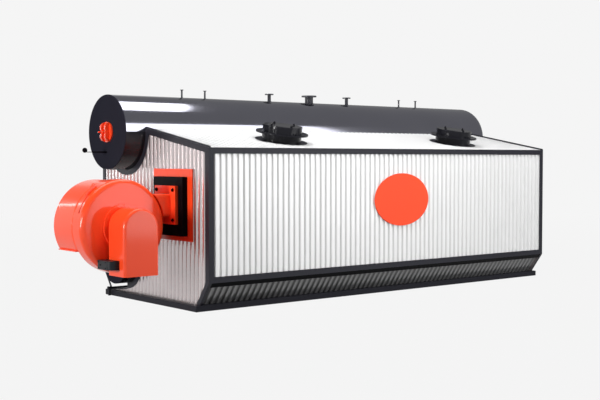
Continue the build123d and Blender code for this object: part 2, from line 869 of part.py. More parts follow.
def flue_outlet():
    """A short rectangular duct with a bolting flange on the rear wall."""
    outer = Rectangle(flue_width + 2 * flue_wall, flue_height + 2 * flue_wall)
    inner = Rectangle(flue_width, flue_height)
    y0 = rear_y - trim_thickness
    y1 = rear_y + flue_depth
    body = slab_y(Pos(flue_x, flue_z) * (outer - inner), y0, y1)
    rim = 2 * (flue_wall + flue_flange)
    flange = Rectangle(flue_width + rim, flue_height + rim)
    body += slab_y(Pos(flue_x, flue_z) * (flange - inner), y1 - flue_flange_t, y1)
    dx = flue_width / 2 + flue_wall + flue_flange - flue_bolt_inset
    dz = flue_height / 2 + flue_wall + flue_flange - flue_bolt_inset
    for i in (-1, 1):
        for j in (-1, 1):
            hole = Pos(flue_x + i * dx, flue_z + j * dz) * Circle(flue_bolt_d / 2)
            body -= slab_y(hole, y1 - 2 * flue_flange_t, y1 + flue_flange_t)
    return body


def blowdown_line():
    """The blow-down pipe under the lower drum, with its valve in front of the base frame."""
    x = -base_half + blowdown_inset
    z = sill_z(x) + seat_gap + blowdown_d / 2 * hypot(1, sill_slope)
    y0 = front_y - base_overhang - blowdown_valve_size / 2
    y1 = front_y + blowdown_run
    pipe = Pos(x, (y0 + y1) / 2, z) * Rot(90, 0, 0) * Cylinder(blowdown_d / 2, y1 - y0)
    half = blowdown_valve_size / 2
    valve = box_between(x - half, x + half, y0 - half, y0 + half, 0, z + blowdown_valve_head)
    return pipe + valve


def build_all():
    nodes = {
        "base_rails": base_rails(),
        "base_cross_beams": base_cross_beams(),
        "furnace_casing": furnace_casing(),
        "tube_bank_casing": tube_bank_casing(),
        "shoulder_plate": shoulder_plate(),
        "front_wall_sheet": end_sheet(False),
        "rear_wall_sheet": end_sheet(True),
        "right_wall_sheet": right_wall_sheet(),
        "left_wall_sheet": left_wall_sheet(),
        "right_skirt_sheet": right_skirt_sheet(),
        "roof_sheet": roof_sheet(),
        "front_trim": end_trim(False),
        "rear_trim": end_trim(True),
        "right_wall_trim": right_wall_trim(),
        "left_wall_trim": left_wall_trim(),
        "right_knee_band": right_knee_band(),
        "upper_drum_jacket": upper_drum_jacket(),
        "upper_drum_belly": upper_drum_belly(),
        "upper_drum_front_cover": upper_drum_front_cover(),
        "upper_drum_rear_head": upper_drum_rear_head(),
        "upper_manway": upper_manway(),
        "cover_lever": cover_lever(),
        "lower_drum_jacket": lower_drum_jacket(),
        "lower_drum_front_cover": lower_drum_front_cover(),
        "lower_drum_rear_head": lower_drum_rear_head(),
        "lower_manway": lower_manway(),
        "lower_drum_saddles": lower_drum_saddles(),
        "steam_nozzle": steam_nozzle(),
        "safety_nozzles": safety_nozzles(),
        "small_nozzles": small_nozzles(),
        "relief_vent_front": relief_vent(-vent_spacing / 2),
        "relief_vent_rear": relief_vent(vent_spacing / 2),
        "burner_port_frame": port_frame(),
        "burner_port_collar": port_collar(),
        "burner_flange": burner_flange(),
        "burner_neck": burner_neck(),
        "burner_fan_housing": burner_fan_housing(),
        "burner_inlet_drum": burner_inlet_drum(),
        "burner_motor_flange": burner_motor_flange(),
        "burner_motor_cover": burner_motor_cover(),
        "burner_control_box": burner_control_box(),
        "side_plate": side_plate(),
        "flue_outlet": flue_outlet(),
        "blowdown_line": blowdown_line(),
    }
    return nodes


os.makedirs("parts", exist_ok=True)
for name, shape in build_all().items():
    solids = shape if isinstance(shape, list) else shape.solids()
    solids = [s for part in solids for s in part.solids()]
    piece = solids[0] if len(solids) == 1 else Compound(children=solids)
    export_step(piece, f"parts/{name}.step")
    print(name, len(solids), "solids")
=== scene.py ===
# %% [markdown]
# This lesson dresses an industrial water-tube boiler: a long casing of white ribbed sheet on a dark
# base frame, a large steam drum along its top left edge, a second drum near the floor and an orange
# burner in front. The construction comes in as a fixed frame of named nodes, in metres, and each cell
# below adds one finish or one piece to it.

# %% Load the construction
import json
from math import atan2, cos, hypot, pi, radians, sin, sqrt, tan

import bmesh
import bpy
from mathutils import Matrix, Vector


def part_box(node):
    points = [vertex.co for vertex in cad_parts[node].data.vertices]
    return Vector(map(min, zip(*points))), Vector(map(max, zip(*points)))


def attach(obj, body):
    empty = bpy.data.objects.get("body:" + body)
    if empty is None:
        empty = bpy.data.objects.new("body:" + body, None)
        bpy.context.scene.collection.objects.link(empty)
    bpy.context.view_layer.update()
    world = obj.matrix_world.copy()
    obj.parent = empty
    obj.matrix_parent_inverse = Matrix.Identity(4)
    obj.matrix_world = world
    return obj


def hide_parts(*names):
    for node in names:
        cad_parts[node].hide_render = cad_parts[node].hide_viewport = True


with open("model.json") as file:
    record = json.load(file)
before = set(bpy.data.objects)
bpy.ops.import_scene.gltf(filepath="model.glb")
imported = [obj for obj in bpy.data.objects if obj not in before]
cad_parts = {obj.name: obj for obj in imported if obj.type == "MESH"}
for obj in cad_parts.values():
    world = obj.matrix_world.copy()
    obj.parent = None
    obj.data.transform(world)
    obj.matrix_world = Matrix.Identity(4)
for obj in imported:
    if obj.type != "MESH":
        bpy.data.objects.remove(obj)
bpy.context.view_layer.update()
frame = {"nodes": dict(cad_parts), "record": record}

nodes = frame["nodes"]

# %% [markdown]
# A product picture of a machine this long is taken with a long lens from some way off. The camera
# stands 2.25 m above the floor and looks almost level, past the right front corner, so that the
# burner end and the long side both show. The film back keeps its usual 36 mm.

# %% Camera
camera_place = (14.2725, -12.464, 2.252)
camera_turn = 50.868
camera_dip = 2.231
lens_mm = 63.32
film_mm = 36
far_clip = 300

camera_data = bpy.data.cameras.new("camera")
camera_data.lens = lens_mm
camera_data.sensor_width = film_mm
camera_data.clip_end = far_clip
camera = bpy.data.objects.new("camera", camera_data)
camera.location = camera_place
camera.rotation_euler = (radians(90 - camera_dip), 0, radians(camera_turn))
bpy.context.scene.collection.objects.link(camera)
bpy.context.scene.camera = camera
bpy.context.scene.view_settings.view_transform = "Standard"
print("camera", lens_mm, "mm at", camera_place)

# %% [markdown]
# Shader maths reads best as ordinary sums. A small class wraps one socket and answers to plus and
# times by adding the Math node for it, also when the number comes first. All other nodes come from
# one method that takes the node's type, its settings and its inputs.

# %% Sums on sockets
class Wire:
    """One output socket, ready to take part in a sum."""

    def __init__(self, paint, socket):
        self.paint = paint
        self.socket = socket

    def math(self, operation, first, second):
        return self.paint.node("ShaderNodeMath", {"operation": operation}, {0: first, 1: second})

    def __add__(self, other):
        return self.math("ADD", self, other)

    def __radd__(self, other):
        return self.math("ADD", other, self)

    def __mul__(self, other):
        return self.math("MULTIPLY", self, other)

    def __rmul__(self, other):
        return self.math("MULTIPLY", other, self)


class Paint:
    """Node work in code: on a new material round one Principled shader, or on a tree that is given."""

    def __init__(self, name, tree=None):
        self.material = None
        if tree is None:
            self.material = bpy.data.materials.new(name)
            self.material.use_nodes = True
            tree = self.material.node_tree
            self.shader = tree.nodes["Principled BSDF"]
        self.tree = tree

    def node(self, kind, settings, inputs, output=0):
        made = self.tree.nodes.new(kind)
        for key, value in settings.items():
            if key == "stops":
                self.set_stops(made.color_ramp, value)
            else:
                setattr(made, key, value)
        for key, value in inputs.items():
            self.plug(made.inputs[key], value)
        return Wire(self, made.outputs[output])

    def plug(self, socket, value):
        if isinstance(value, Wire):
            self.tree.links.new(value.socket, socket)
        else:
            socket.default_value = value

    def set_stops(self, ramp, stops):
        while len(ramp.elements) < len(stops):
            ramp.elements.new(0.5)
        for element, (position, level) in zip(ramp.elements, stops):
            element.position = position
            element.color = grey(level)

    def surface(self, **values):
        for key, value in values.items():
            self.plug(self.shader.inputs[key.replace("_", " ")], value)

    def place(self):
        return self.node("ShaderNodeTexCoord", {}, {}, "Object")

    def axes(self, place):
        return [self.node("ShaderNodeSeparateXYZ", {}, {0: place}, i) for i in range(3)]

    def stretched(self, place, scale):
        return self.node("ShaderNodeMapping", {}, {"Vector": place, "Scale": scale})

    def noise(self, place, scale, detail):
        return self.node("ShaderNodeTexNoise", {}, {"Vector": place, "Scale": scale, "Detail": detail})

    def ramp(self, value, stops):
        return self.node("ShaderNodeValToRGB", {"stops": stops}, {0: value})

    def mix(self, factor, first, second):
        settings = {"data_type": "RGBA"}
        return self.node("ShaderNodeMix", settings, {0: factor, 6: first, 7: second}, 2)

    def bump(self, height, strength, distance):
        inputs = {"Height": height, "Strength": strength, "Distance": distance}
        return self.node("ShaderNodeBump", {}, inputs)


def grey(level):
    return (level, level, level, 1)


def tinted(colour, share=1):
    """A colour as a socket takes it, with its three parts times a share."""
    return (*(share * part for part in colour), 1)


print("sums on sockets are ready")

# %% [markdown]
# The studio is plain: a panel over the front half of the boiler, which draws a band along the
# polished drum, a low key lamp in front of the burner, whose shadow falls on the port frame, two thin
# strips that only gloss shows, as lines on the burner's rims, a broad lamp on the right, and a large
# soft one high up, which mirrors don't show. Smooth metal shows what stands around it, so for mirrors
# the world is bright up to some 20 degrees above the horizon and dim over that, as in a white cove
# under a dark ceiling. The cove is open towards the rear, so that the far half of the drum stays
# grey. For matt surfaces the world is nearly black, which keeps the shadows deep.

# %% Lights
def panel(name, at, aim, width, length, power):
    """A flat lamp that shines from one point towards another."""
    data = bpy.data.lights.new(name, "AREA")
    data.shape = "RECTANGLE"
    data.size = width
    data.size_y = length
    data.energy = power
    lamp = bpy.data.objects.new(name, data)
    lamp.location = at
    lamp.rotation_euler = (Vector(aim) - Vector(at)).to_track_quat("-Z", "Y").to_euler()
    lamp.visible_camera = False
    bpy.context.scene.collection.objects.link(lamp)
    return lamp


panel("overhead", (-0.25, -3.85, 8), (-0.25, -3.85, 0), width=3.3, length=8.3, power=380)
panel("key", (1.5, -15.5, 2.7), (0.9, -3.9, 1.4), width=0.6, length=2.8, power=980)
strip = panel("strip", (-5.6, -14.4, 3.2), (0.5, -3.9, 1.3), width=0.5, length=6, power=170)
panel("side", (13, 6.2, 4.5), (1.5, 0.5, 2.8), width=9, length=9.8, power=880)
left_strip = panel("left", (-9.5, -8.5, 3.2), (0, -4.5, 1.6), width=0.3, length=6, power=60)
high = panel("sky", (6.5, -1.2, 9), (0.5, -1, 2), width=5, length=8, power=850)
strip.visible_diffuse = False
left_strip.visible_diffuse = False
high.visible_glossy = False

background = 0.913
cove_full = sin(radians(22.5))
cove_end = sin(radians(26))
ceiling_grey = 0.24
wall_ends = 0.42
all_open = 0.56
ambient = 0.03
zenith = 0.05
zenith_from = sin(radians(30))
zenith_full = sin(radians(60))

world = bpy.data.worlds.new("studio")
bpy.context.scene.world = world
world.use_nodes = True
sky = Paint("studio", world.node_tree)
sky_place = sky.node("ShaderNodeTexCoord", {}, {}, "Generated")
along, height = sky.axes(sky_place)[1:]
edge = [(cove_full, background), (cove_end, ceiling_grey)]
wall = {0: along, 1: wall_ends, 2: all_open, 3: 0.0, 4: 1.0}
open_side = sky.node("ShaderNodeMapRange", {}, wall)
cove = sky.mix(open_side, sky.ramp(height, edge), grey(ceiling_grey))
ray = "ShaderNodeLightPath"
seen = sky.node(ray, {}, {}, "Is Camera Ray")
mirrored = sky.node(ray, {}, {}, "Is Glossy Ray")
through = sky.node(ray, {}, {}, "Is Transmission Ray")
wash = {0: height, 1: zenith_from, 2: zenith_full, 3: ambient, 4: zenith}
soft = sky.node("ShaderNodeMapRange", {}, wash)
plain = sky.mix(seen + through, soft, grey(background))
sky.plug(world.node_tree.nodes["Background"].inputs["Color"], sky.mix(mirrored, plain, cove))

# %% [markdown]
# The floor glows in the background colour for the camera and for mirrors, and only near the boiler
# does it keep a share of real shading, so that a faint shadow still grounds the machine. As a surface
# that light falls on it is grey, because a white floor would light up every underside and wash out
# the shadows on the burner end.

# %% Floor
floor_reach = 120
shadow_near = 9
shadow_far = 26
glow_share = 0.99
cloth_grey = 0.16

floor_shape = bmesh.new()
bmesh.ops.create_grid(floor_shape, x_segments=1, y_segments=1, size=floor_reach)
floor_mesh = bpy.data.meshes.new("floor")
floor_shape.to_mesh(floor_mesh)
floor_shape.free()
floor = bpy.data.objects.new("floor", floor_mesh)
bpy.context.scene.collection.objects.link(floor)

cloth = Paint("floor")
away = cloth.node("ShaderNodeVectorMath", {"operation": "LENGTH"}, {0: cloth.place()}, "Value")
spread = {0: away, 1: shadow_near, 2: shadow_far, 3: glow_share, 4: 1.0}
fade = cloth.node("ShaderNodeMapRange", {}, spread)
looks = cloth.node(ray, {}, {}, "Is Camera Ray") + cloth.node(ray, {}, {}, "Is Glossy Ray")
lit = cloth.node("ShaderNodeBsdfDiffuse", {}, {"Color": grey(cloth_grey)})
glow = cloth.node("ShaderNodeEmission", {}, {"Color": grey(background)})
cover = cloth.node("ShaderNodeMixShader", {}, {0: looks * fade, 1: lit, 2: glow})
cloth.plug(cloth.tree.nodes["Material Output"].inputs["Surface"], cover)
floor_mesh.materials.append(cloth.material)
print("floor", 2 * floor_reach, "m wide")

# %% [markdown]
# White coated sheet steel is smooth and slightly glossy. Up close it has a faint grain from the
# coating rollers and a slow haze that only nudges colour and roughness, because a new boiler is clean.
# The two end walls are of barer, more metallic sheet, which mirrors the orange burner. Their colour is also
# set darker, partly for the metal and partly as painted shade, and its pink tint is a painted reflection of
# the burner.

# %% Coated sheet
haze_scale = 1.3
haze_tint = 0.93
grain_scale = 420
grain_stretch = (1, 1, 0.08)
grain_depth = 0.0006


def coated_sheet(name, colour, roughness, metal):
    paint = Paint(name)
    place = paint.place()
    haze = paint.noise(place, haze_scale, 3)
    grain = paint.noise(paint.stretched(place, grain_stretch), grain_scale, 1)
    coat = paint.mix(haze, tinted(colour, haze_tint), tinted(colour))
    paint.surface(Base_Color=coat, Metallic=metal, Roughness=roughness + 0.06 * haze + 0.04 * grain,
                  Normal=paint.bump(grain, 0.06, grain_depth))
    return paint.material


white_sheet = coated_sheet("white_sheet", (0.9, 0.9, 0.9), roughness=0.3, metal=0.12)
end_sheet = coated_sheet("end_sheet", (0.58, 0.53, 0.53), roughness=0.19, metal=0.8)
skirt_sheet = coated_sheet("skirt_sheet", (0.24, 0.24, 0.243), roughness=0.2, metal=0.2)
print("sheets:", white_sheet.name, end_sheet.name, skirt_sheet.name)

# %% [markdown]
# Structural steel is powder coated in anthracite, and the oval plate on the long side in a satin
# orange. Powder leaves a fine pebbled skin, which is a small bump, and handling leaves it a touch
# lighter and duller here and there. The port collar comes out nearly black. The knee band is the same
# anthracite paint as the trims, but it gets that near-black coat as painted shade, for the shade it lies in
# under the knee.

# %% Powder coat
pebble_scale = 900
pebble_depth = 0.0008
wear_scale = 2.2
wear_tint = 1.22


def powder_coat(name, colour, roughness, pebble=0.12, shine=0.06):
    paint = Paint(name)
    place = paint.place()
    pebbles = paint.noise(place, pebble_scale, 2)
    wear = paint.noise(place, wear_scale, 3)
    coat = paint.mix(wear, tinted(colour), tinted(colour, wear_tint))
    paint.surface(Base_Color=coat, Roughness=roughness + 0.12 * wear, Specular_IOR_Level=shine,
                  Normal=paint.bump(pebbles, pebble, pebble_depth))
    return paint.material


trim_coat = powder_coat("trim_coat", (0.018, 0.018, 0.025), 0.3, shine=0.15)
base_coat = powder_coat("base_coat", (0.018, 0.018, 0.024), 0.34)
cover_coat = powder_coat("cover_coat", (0.021, 0.021, 0.03), 0.5, shine=0)
collar_coat = powder_coat("collar_coat", (0.003, 0.003, 0.004), 0.2, shine=0.02)
vent_coat = powder_coat("vent_coat", (0.008, 0.008, 0.011), 0.12, pebble=0.04, shine=0.13)
nozzle_coat = powder_coat("nozzle_coat", (0.03, 0.03, 0.036), 0.25, pebble=0.05, shine=0.3)
casing_coat = powder_coat("casing_coat", (0.12, 0.12, 0.125), 0.5)
plate_coat = powder_coat("plate_coat", (1.0, 0.085, 0.03), 0.55, shine=0.25)
powder_coats = (trim_coat, base_coat, cover_coat, collar_coat, vent_coat, nozzle_coat, casing_coat,
                plate_coat)
print("powder coats:", [coat.name for coat in powder_coats])

# %% [markdown]
# The steam drum is wrapped in polished sheet over its insulation, and its belly and the lower drum in
# dark painted sheet. Rolling the sheet into a course leaves very fine marks that run round the drum,
# so the finish stretches a noise along the jacket's girth and lets it nudge the roughness and the
# slope of the surface.

# %% Drum jackets
rolling_scale = 8
rolling_stretch = (0.5, 60, 0.5)
rolling_depth = 0.001
bloom_scale = 0.9
bloom_tint = 0.86


def rolled_jacket(name, colour, roughness, metal):
    paint = Paint(name)
    place = paint.place()
    rolling = paint.noise(paint.stretched(place, rolling_stretch), rolling_scale, 2)
    bloom = paint.noise(place, bloom_scale, 2)
    skin = paint.mix(bloom, tinted(colour, bloom_tint), tinted(colour))
    paint.surface(Base_Color=skin, Metallic=metal, Roughness=roughness + 0.04 * rolling + 0.03 * bloom,
                  Normal=paint.bump(rolling, 0.02, rolling_depth))
    return paint.material


jacket = rolled_jacket("polished_jacket", (0.4, 0.4, 0.465), roughness=0.08, metal=1)
belly = rolled_jacket("dark_jacket", (0.016, 0.016, 0.02), roughness=0.12, metal=0)
print("jackets:", jacket.name, belly.name)

# %% [markdown]
# The burner wears a deep gloss signal orange: a coloured paint under a clear coat. The coat is what
# makes the sharp white reflections on every rounded rim. A shallow, slow bump gives the slight
# unevenness of sprayed paint, known as orange peel.

# %% Gloss orange
peel_scale = 260
peel_depth = 0.0005
drift_scale = 1.7
drift_tint = 0.95


def gloss_paint(name, colour, roughness):
    paint = Paint(name)
    place = paint.place()
    peel = paint.noise(place, peel_scale, 1)
    drift = paint.noise(place, drift_scale, 2)
    coat = paint.mix(drift, tinted(colour, drift_tint), tinted(colour))
    paint.surface(Base_Color=coat, Roughness=roughness, Specular_IOR_Level=0.1, Coat_Weight=0.6,
                  Coat_Roughness=0.09, Normal=paint.bump(peel, 0.03, peel_depth))
    return paint.material


orange = gloss_paint("gloss_orange", (1.0, 0.075, 0.018), roughness=0.3)
print("paint:", orange.name)

# %% [markdown]
# The control box and the guard under the air inlet are black moulded plastic. The mould gives them a
# very fine texture, far too small to model, so it is a bump that also nudges the roughness.

# %% Moulded plastic
mould_scale = 1400
mould_depth = 0.0004


def moulded_plastic(name, colour):
    paint = Paint(name)
    texture = paint.noise(paint.place(), mould_scale, 1)
    paint.surface(Base_Color=tinted(colour), Roughness=0.34 + 0.1 * texture, Specular_IOR_Level=0.15,
                  Normal=paint.bump(texture, 0.15, mould_depth))
    return paint.material


black_plastic = moulded_plastic("black_plastic", (0.012, 0.013, 0.016))
print("plastic:", black_plastic.name)

# %% [markdown]
# A node whose shape is already right only needs its finish. The record names a slot for each node,
# so one table from slot to finish dresses them all, and a short second table names the few nodes
# whose finish differs from that of their slot.

# %% Finishes by slot
finish_of = {
    "base_steel": base_coat,
    "trim_paint": trim_coat,
    "wall_sheet": white_sheet,
    "skirt_sheet": skirt_sheet,
    "casing_steel": casing_coat,
    "jacket_metal": jacket,
    "dark_jacket": belly,
    "cover_paint": cover_coat,
    "orange_paint": orange,
    "nozzle_steel": nozzle_coat,
    "vent_paint": vent_coat,
    "black_plastic": black_plastic,
    "collar_paint": collar_coat,
}
slot_of = {part["node"]: part["material_slot"] for part in frame["record"]["subparts"]}
for name, node in nodes.items():
    node.data.materials.clear()
    node.data.materials.append(finish_of[slot_of[name]])
own_finish = {
    # The end walls' colour is partly painted shade, and its pink tint is a painted reflection of the
    # burner.
    "front_wall_sheet": end_sheet, "rear_wall_sheet": end_sheet, "cover_lever": collar_coat,
    # The knee band's near-black coat is painted shade: it is the same anthracite paint as the trims.
    "right_knee_band": collar_coat, "side_plate": plate_coat,
}
for name, finish in own_finish.items():
    nodes[name].data.materials[0] = finish
print("dressed", len(slot_of), "nodes")

# %% [markdown]
# Every new piece is built in a bmesh, Blender's own editable mesh. One helper closes it off: it
# merges doubled points, turns all faces outwards, marks sharp edges by their angle, gives the piece a
# finish and lets it ride with the boiler.

# %% Finishing a piece
merge_reach = 1e-5
sharp_angle = radians(32)


def finished(name, shape, slot):
    """Turns a bmesh into a piece of the boiler with its slot's finish."""
    bmesh.ops.remove_doubles(shape, verts=shape.verts, dist=merge_reach)
    bmesh.ops.recalc_face_normals(shape, faces=shape.faces)
    mesh = bpy.data.meshes.new(name)
    shape.to_mesh(mesh)
    shape.free()
    mesh.materials.append(finish_of[slot])
    mesh.shade_smooth()
    mesh.set_sharp_from_angle(angle=sharp_angle)
    piece = bpy.data.objects.new(name, mesh)
    bpy.context.scene.collection.objects.link(piece)
    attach(piece, "root")
    return piece


print("pieces are finished by slot:", len(finish_of), "slots")

# %% [markdown]
# No folded, cast or sawn edge is perfectly sharp, and the thin line of light along an edge is what
# shows it. So a node with plain edges gets a stand-in: its triangles are merged into whole faces and
# a Bevel modifier rounds every edge that turns more than 30 degrees.

# %% Softened edges
flat_angle = radians(0.4)
edge_angle = radians(30)


def softened(name, width):
    """Stands a copy of a node in for it, with slightly rounded edges."""
    shape = bmesh.new()
    shape.from_mesh(nodes[name].data)
    bmesh.ops.remove_doubles(shape, verts=shape.verts, dist=merge_reach)
    bmesh.ops.dissolve_limit(shape, angle_limit=flat_angle, verts=shape.verts, edges=shape.edges)
    piece = finished(name + "_soft", shape, slot_of[name])
    piece.data.materials[0] = nodes[name].data.materials[0]
    bevel = piece.modifiers.new("soft edges", "BEVEL")
    bevel.width = width
    bevel.segments = 2
    bevel.limit_method = "ANGLE"
    bevel.angle_limit = edge_angle
    bevel.harden_normals = True
    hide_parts(name)


edge_widths = {
    "front_trim": 0.0015, "rear_trim": 0.0015, "right_wall_trim": 0.0015, "left_wall_trim": 0.0015,
    "right_knee_band": 0.003, "base_rails": 0.004, "base_cross_beams": 0.004,
    "upper_drum_front_cover": 0.003, "lower_drum_front_cover": 0.003, "upper_manway": 0.004,
    "lower_manway": 0.003, "relief_vent_front": 0.005, "relief_vent_rear": 0.005,
    "burner_port_frame": 0.003, "burner_port_collar": 0.004, "burner_flange": 0.004,
    "burner_motor_flange": 0.003, "side_plate": 0.003, "flue_outlet": 0.002,
    "lower_drum_saddles": 0.003, "steam_nozzle": 0.002, "safety_nozzles": 0.002, "small_nozzles": 0.0015,
}
for name, width in edge_widths.items():
    softened(name, width)
print("softened", len(edge_widths), "nodes")

# %% [markdown]
# Bolts and screws are small turned parts: a few drums stacked along one axis, each with its number
# of sides and a bevelled rim. One is built as a mesh, and a stamp then adds a copy of it wherever it
# is needed, so that all fasteners of one finish are a single joined piece.

# %% Turned parts and stamps
def turned(*steps):
    """A small part stacked along Z from steps of (radius, height, sides, rim), as a mesh to stamp."""
    stack = bmesh.new()
    foot = 0
    for radius, height, sides, rim in steps:
        middle = Matrix.Translation((0, 0, foot + height / 2))
        bmesh.ops.create_cone(stack, cap_ends=True, segments=sides, radius1=radius, radius2=radius,
                              depth=height, matrix=middle)
        foot += height
        top = [edge for edge in stack.edges if min(v.co.z for v in edge.verts) > foot - merge_reach]
        if rim:
            bmesh.ops.bevel(stack, geom=top, offset=rim, segments=1, profile=0.5, affect="EDGES",
                            material=-1)
    mesh = bpy.data.meshes.new("turned")
    stack.to_mesh(mesh)
    stack.free()
    return mesh


def aimed(at, axis):
    """A place at a point, with its own Z along an axis."""
    return Matrix.Translation(at) @ Vector(axis).to_track_quat("Z", "Y").to_matrix().to_4x4()


def stamp(shape, part, places):
    """Adds one copy of a turned part at each place."""
    for place in places:
        before = len(shape.verts)
        shape.from_mesh(part)
        shape.verts.ensure_lookup_table()
        bmesh.ops.transform(shape, matrix=place, verts=shape.verts[before:])


def row(first, last, spacing):
    """Evenly spaced points from first to last, both included."""
    first, last = Vector(first), Vector(last)
    gaps = max(1, round((last - first).length / spacing))
    return [first.lerp(last, i / gaps) for i in range(gaps + 1)]


def circle(place, radius, count, start=0.0):
    """Places on a circle round the Z axis of a place, the first one at a start angle."""
    turns = [start + 2 * pi * i / count for i in range(count)]
    return [place @ Matrix.Translation((radius * cos(a), radius * sin(a), 0)) for a in turns]


screw = turned((0.010, 0.0015, 12, 0), (0.0065, 0.003, 10, 0.001))
bolt = turned((0.014, 0.0025, 16, 0), (0.0115, 0.008, 6, 0.0012))
large_bolt = turned((0.030, 0.004, 20, 0.0008), (0.025, 0.018, 6, 0.002))
nut = turned((0.022, 0.003, 16, 0), (0.0185, 0.016, 6, 0.0015), (0.0105, 0.007, 12, 0.001))
print("screw faces:", len(screw.polygons), "bolt faces:", len(bolt.polygons))

# %% [markdown]
# The flat strips are screwed down about every forty centimetres. The places come from the boxes of
# the trim nodes, along the middle of each strip. The long strips on the drum side set the boiler's
# full width, where nothing may stand out, so they are taken as riveted flush and get no screws.

# %% Trim screws
strip_width = 0.09
screw_spacing = 0.42
roof_slope = radians(10.3)
middle = strip_width / 2
post_gap = 3 * middle
peak_gap = 1.3 * middle

trim_low, trim_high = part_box("front_trim")
wall_low, wall_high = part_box("right_wall_trim")
left_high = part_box("left_wall_trim")[1]
half_w = trim_high[0]
front_y = trim_low[1]
knee = wall_low[2]
eave = wall_high[2]
shoulder = left_high[2]
peak_z = trim_high[2]
peak_x = half_w - (peak_z - eave) / tan(roof_slope)

trim_screws = bmesh.new()
for end in (-1, 1):
    face = end * abs(front_y)
    out = (0, end, 0)
    right = half_w - middle
    points = row((right, face, knee + middle), (right, face, eave - middle), screw_spacing)
    points += row((right - strip_width, face, eave - middle + strip_width * tan(roof_slope)),
                  (peak_x + middle, face, peak_z - peak_gap), screw_spacing)
    points += row((-right, face, knee + middle), (-right, face, shoulder - middle), screw_spacing)
    stamp(trim_screws, screw, [aimed(p, out) for p in points])
for z in (knee + middle, eave - middle):
    points = row((half_w, wall_low[1] + middle, z), (half_w, wall_high[1] - middle, z), screw_spacing)
    stamp(trim_screws, screw, [aimed(p, (1, 0, 0)) for p in points])
for y in (wall_low[1] + middle, wall_high[1] - middle):
    points = row((half_w, y, knee + post_gap), (half_w, y, eave - post_gap), screw_spacing)
    stamp(trim_screws, screw, [aimed(p, (1, 0, 0)) for p in points])
finished("trim_screws", trim_screws, "trim_paint")
print("trim screws from knee", round(knee, 3), "to eave", round(eave, 3))

# %% [markdown]
# The end trims are angles, not flat bars: their second leg wraps round the edge of the white sheet
# where the casing is chamfered towards the base. Without it, the cut edge of the sheet would shine
# out beside the dark skirt.

# %% Chamfer returns
return_depth = 0.044
return_thickness = 0.0015
trim_thickness = 0.008
chamfer_inset = 0.245


def block(shape, size, place):
    """Adds a box of the given size, in the axes of a place."""
    bmesh.ops.create_cube(shape, size=1, matrix=place @ Matrix.Diagonal((*size, 1)))


rail_low, rail_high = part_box("base_rails")
foot_x = half_w - chamfer_inset
foot_z = rail_high[2]
lean = atan2(knee - foot_z, chamfer_inset)
leg = hypot(knee - foot_z, chamfer_inset)
returns = bmesh.new()
for end in (-1, 1):
    y = end * (abs(front_y) - trim_thickness - return_depth / 2)
    centre = Matrix.Translation(((half_w + foot_x) / 2, y, (knee + foot_z) / 2))
    place = centre @ Matrix.Rotation(-lean, 4, "Y") @ Matrix.Translation((0, 0, -return_thickness / 2))
    block(returns, (leg, return_depth, return_thickness), place)
finished("chamfer_returns", returns, "trim_paint")
print("chamfer returns", round(leg, 3), "m long")

# %% [markdown]
# A raked capping closes each end of the roof from the eave up to the drum: a dark strip that lies on
# the sheet and stands up a little over its ribs. Places on the roof have their own X along the
# boiler, their Y up the slope and their Z away from the roof.

# %% Rake cappings
capping_width = 0.03
capping_rise = 0.02

roof_turn = Matrix(((0, -cos(roof_slope), sin(roof_slope)),
                    (1, 0, 0),
                    (0, sin(roof_slope), cos(roof_slope)))).to_4x4()
roof_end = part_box("roof_sheet")[1][1]
rake = (half_w - peak_x) / cos(roof_slope)
cappings = bmesh.new()
for end in (-1, 1):
    eave_corner = Matrix.Translation((half_w, end * (roof_end - capping_width / 2), eave))
    place = eave_corner @ roof_turn @ Matrix.Translation((0, rake / 2, capping_rise / 2))
    block(cappings, (capping_width, rake, capping_rise), place)
finished("rake_cappings", cappings, "trim_paint")
print("rake cappings", round(rake, 3), "m long, roof ends at y", round(roof_end, 3))

# %% [markdown]
# The flue leaves through the rear wall. Its duct is closed off towards the boiler by a dark damper
# blade, so that the ribbed wall doesn't show at the bottom of the duct.

# %% Flue damper
blade_thickness = 0.006
blade_gap = 0.002

duct_low, duct_high = frame["record"]["physics"]["openings"][0]["box_m"]
blade_size = (duct_high[0] - duct_low[0], blade_thickness, duct_high[2] - duct_low[2])
blade_at = ((duct_low[0] + duct_high[0]) / 2,
            duct_low[1] - blade_gap - blade_thickness / 2,
            (duct_low[2] + duct_high[2]) / 2)
blade = bmesh.new()
block(blade, blade_size, Matrix.Translation(blade_at))
finished("flue_damper", blade, "collar_paint")
print("damper blade at", [round(v, 3) for v in blade_at])

# %% [markdown]
# On the steam drum the front cover is held by a circle of small screws, and each nozzle leaves the
# jacket through a rolled bead that seals the sheet round the pipe. The bead is a small circle that is
# spun once round the pipe's axis.

# %% Drum screws and beads
upper_screw_inset = 0.045
lower_screw_inset = 0.04
upper_screws = 24
lower_screws = 16

cover_low, cover_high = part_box("upper_drum_front_cover")
cover_r = (cover_high[0] - cover_low[0]) / 2
drum_x = (cover_low[0] + cover_high[0]) / 2
drum_z = cover_high[2] - cover_r
lower_low, lower_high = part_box("lower_drum_front_cover")
lower_r = (lower_high[0] - lower_low[0]) / 2
lower_x = (lower_low[0] + lower_high[0]) / 2
lower_z = (lower_low[2] + lower_high[2]) / 2

cover_screws = bmesh.new()
cover_face = aimed((drum_x, cover_low[1], drum_z), (0, -1, 0))
lower_face = aimed((lower_x, lower_low[1], lower_z), (0, -1, 0))
stamp(cover_screws, screw, circle(cover_face, cover_r - upper_screw_inset, upper_screws, pi / upper_screws))
stamp(cover_screws, screw, circle(lower_face, lower_r - lower_screw_inset, lower_screws, pi / lower_screws))
finished("cover_screws", cover_screws, "cover_paint")


